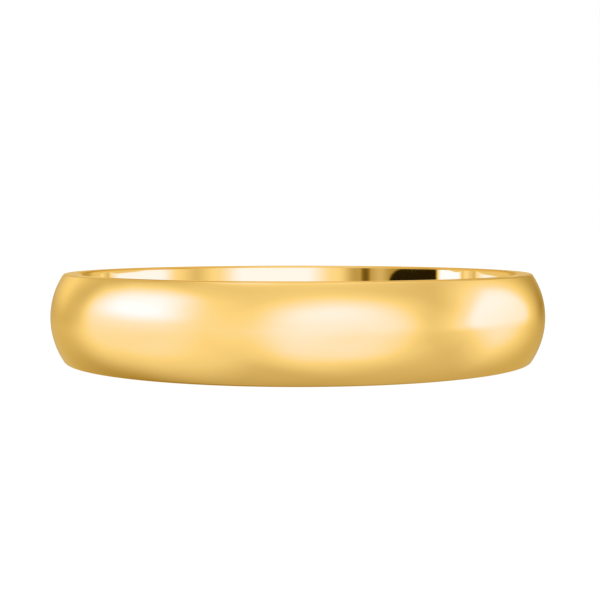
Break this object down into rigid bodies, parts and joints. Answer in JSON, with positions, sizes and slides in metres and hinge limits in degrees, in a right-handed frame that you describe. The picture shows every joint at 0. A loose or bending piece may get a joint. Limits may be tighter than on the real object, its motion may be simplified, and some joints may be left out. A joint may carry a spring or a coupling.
{
  "type": "wedding band",
  "caption": "Plain half-round finger ring in yellow gold: domed outside, straight inside, flat sides and softly eased edges.",
  "frame": {"origin": "middle of the finger hole, halfway across the band's width", "axes": "+Z along the finger hole, so the band lies flat on its lower side; X and Y are alike, because the band is round"},
  "size_m": [0.0228, 0.0228, 0.004],
  "materials": {
    "yellow_gold": "polished"
  },
  "bodies": {
    "root": {"band": "yellow_gold"}
  },
  "joints": []
}
